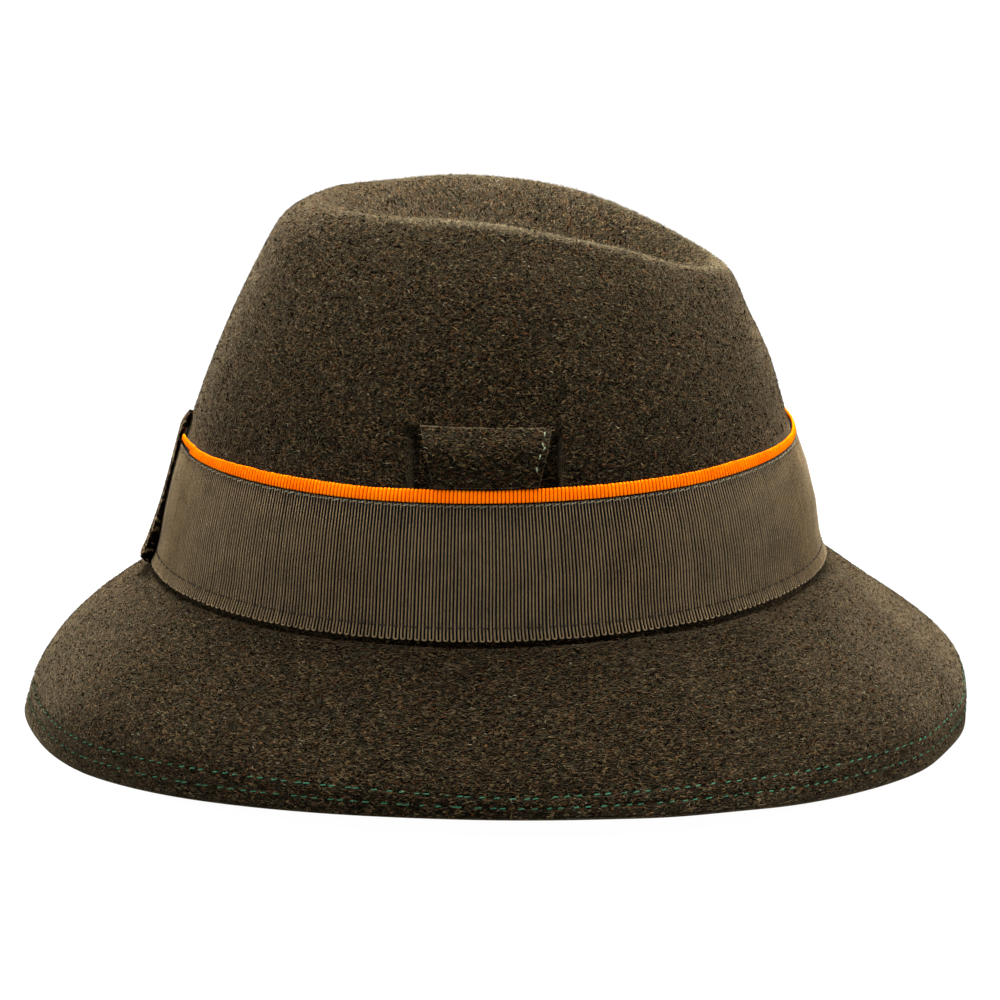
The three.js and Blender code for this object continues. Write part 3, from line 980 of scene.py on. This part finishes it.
def sheet_seeds(points, normals, keep, upright, ridge, closed):
    """The quads of a grid of points: corners, normals, areas to sow, direction and share of the ridge."""
    over = (lambda g: np.roll(g, -1, 1)) if closed else (lambda g: g[:, 1:])
    here = (lambda g: g) if closed else (lambda g: g[:, :-1])
    a, b, c, d = here(points[:-1]), over(points[:-1]), over(points[1:]), here(points[1:])
    area = np.linalg.norm(np.cross(c - a, d - b), axis=-1) / 2
    flat = [np.broadcast_to(g, area.shape).ravel() for g in (area * keep, upright, area * ridge)]
    return [g.reshape(-1, 3) for g in (a, b, c, d, here(normals[:-1]))] + flat


def felt_seeds():
    """Seeds over the felt's outside and over the loop."""
    middle = ((stations[:-1] + stations[1:]) / 2)[:, None]
    sown = ((middle > BARE_EDGE) & (middle < BARE_BAND[0])) | (middle > BARE_BAND[1])
    backward = ease((-np.cos(angles) - FEWER_AT_BACK["from"]) / FEWER_AT_BACK["soft"])
    on_ridge = bell(middle - RIDGE, RIDGE_WIDTH) * (1 - FEWER_AT_BACK["share"] * backward)
    front = loop_face(1.0)
    normals = unit(np.cross(np.gradient(front, axis=1), np.gradient(front, axis=0)))
    sheets = (sheet_seeds(outer, outer_normals, sown, middle > DENT_FROM, on_ridge, closed=True),
              sheet_seeds(front, normals, 1.0, 0.0, 0.0, closed=False))
    return [np.concatenate(pair) for pair in zip(*sheets)]


def fibres(name, count, colour, length, width, rise, on_ridge=False):
    """Short bent fibres. rise is how steeply the steepest of them stand."""
    a, b, c, d, n, area, upright, ridge_area = seeds
    weight = ridge_area if on_ridge else area
    pick = rng.choice(len(weight), count, p=weight / weight.sum())
    s, t = rng.random((2, count, 1))
    a, b, c, d, n = (g[pick] for g in (a, b, c, d, n))
    place = (a * (1 - s) + b * s) * (1 - t) + (d * (1 - s) + c * s) * t
    along = unit(b - a)
    over = np.cross(n, along)
    turn = (rng.normal(0, FIBRE_TURN, (count, 1)) + math.pi * rng.integers(0, 2, (count, 1))
            + upright[pick][:, None] * math.pi / 2)
    bend = rng.normal(0, FIBRE_BEND, (count, 1))
    size = length * rng.uniform(*FIBRE_SIZES, (count, 1))
    lean = rise * rng.random((count, 1)) ** (0.7 if on_ridge else 2)
    first = along * np.cos(turn) + over * np.sin(turn)
    second = along * np.cos(turn + bend) + over * np.sin(turn + bend)
    # It rises from its root, and comes a little down again towards its tip.
    root = place - n * ROOT_DEPTH
    middle = root + (first + n * (lean + 0.12)) / np.hypot(1, lean) * size * 0.5
    tip = middle + (second + n * (lean * 0.4 - 0.06)) / np.hypot(1, 0.4 * lean) * size * 0.5
    root_side = np.cross(first, n + FIBRE_TILT * rng.normal(size=(count, 3))) * width / 2
    middle_side = np.cross(second, n + FIBRE_TILT * rng.normal(size=(count, 3))) * width / 2
    corners = [root - root_side, root + root_side, middle + middle_side, middle - middle_side, tip]
    points = np.stack(corners, 1)
    points[..., 2] = np.maximum(points[..., 2], FLOOR_CLEARANCE)
    base = np.arange(count)[:, None] * len(corners)
    quads = base + np.array([0, 1, 2, 3])
    tips = base + np.array([3, 2, 4])
    make_mesh(name, points, quads, [fibre_material(name, colour)], tips, smooth=False)


seeds = felt_seeds()
for row in FIBRES:
    fibres(*row)
fibres(*RIDGE_FIBRES_HIGHLIGHT, on_ridge=True)


# Floor, light and camera, in metres.

scene = bpy.context.scene
FLOOR_REACH = 6
WHITE = (1, 1, 1, 1)


def pale_floor():
    """A pale floor that glows a little, as a light table does."""
    m = Shader("floor_pale", roughness=0.9, colour=(0.05, 0.05, 0.05), specular=0.0)
    m.set(m.surface, {"Emission Color": WHITE, "Emission Strength": 0.985})
    mesh = bpy.data.meshes.new("floor")
    corners = [(-1, -1, 0), (1, -1, 0), (1, 1, 0), (-1, 1, 0)]
    mesh.from_pydata([(FLOOR_REACH * x, FLOOR_REACH * y, z) for x, y, z in corners], [], [(0, 1, 2, 3)])
    mesh.materials.append(m.material)
    floor = bpy.data.objects.new("floor", mesh)
    scene.collection.objects.link(floor)


def studio_world():
    """Even white light from all round."""
    world = bpy.data.worlds.new("studio")
    world.use_nodes = True
    background = world.node_tree.nodes["Background"]
    background.inputs["Color"].default_value = WHITE
    background.inputs["Strength"].default_value = 0.4
    scene.world = world


def softbox(name, place, target, size, power):
    """An area light. size is its width and height, power is in watts."""
    data = bpy.data.lights.new(name, "AREA")
    data.shape = "RECTANGLE"
    data.size, data.size_y = size
    data.energy = power
    light = bpy.data.objects.new(name, data)
    light.location = place
    light.rotation_euler = (Vector(target) - Vector(place)).to_track_quat("-Z", "Y").to_euler()
    scene.collection.objects.link(light)


pale_floor()
scene.view_settings.view_transform = "Standard"
studio_world()
softbox("left_strip", (-1.5, -0.4, 0.75), (0, 0, 0.08), (0.9, 1.4), 8.5)
softbox("right_strip", (1.6, 0.2, 0.75), (0, 0, 0.08), (0.9, 1.4), 31)
softbox("overhead", (0.0, 0.14, 0.46), (0.0, 0.03, 0.1), (0.35, 0.3), 14)
softbox("front_fill", (-0.15, -0.75, 2.3), (0, 0, 0.1), (1.4, 1.4), 36)

# The photo is 1000 pixels square. The target shows this far left of its middle and above it.
PHOTO_PIXELS = 1000
METRES_PER_PIXEL = 0.000308
SENSOR_WIDTH = 36.0
DISTANCE = 1.5
ELEVATION = math.radians(15.5)
ROLL = math.radians(-0.5)
TARGET = Vector((0, 0, 0.078))
TARGET_LEFT_OF_MIDDLE = 0.0018
TARGET_ABOVE_MIDDLE = 0.0128


def photo_camera():
    """A camera at the photo's viewing angle, which looks along +Y and a little down."""
    data = bpy.data.cameras.new("camera")
    data.sensor_width = SENSOR_WIDTH
    data.lens = SENSOR_WIDTH * DISTANCE / (PHOTO_PIXELS * METRES_PER_PIXEL)
    data.clip_start, data.clip_end = 0.05, 50
    camera = bpy.data.objects.new("camera", data)
    back = Vector((0, -math.cos(ELEVATION), math.sin(ELEVATION)))
    above = Vector((0, math.sin(ELEVATION), math.cos(ELEVATION)))
    camera.location = TARGET + back * DISTANCE
    aim = TARGET + Vector((TARGET_LEFT_OF_MIDDLE, 0, 0)) - above * TARGET_ABOVE_MIDDLE
    turn_to_aim = (aim - camera.location).to_track_quat("-Z", "Y")
    camera.rotation_mode = "QUATERNION"
    camera.rotation_quaternion = turn_to_aim @ Matrix.Rotation(ROLL, 3, "Z").to_quaternion()
    scene.collection.objects.link(camera)
    scene.camera = camera


photo_camera()
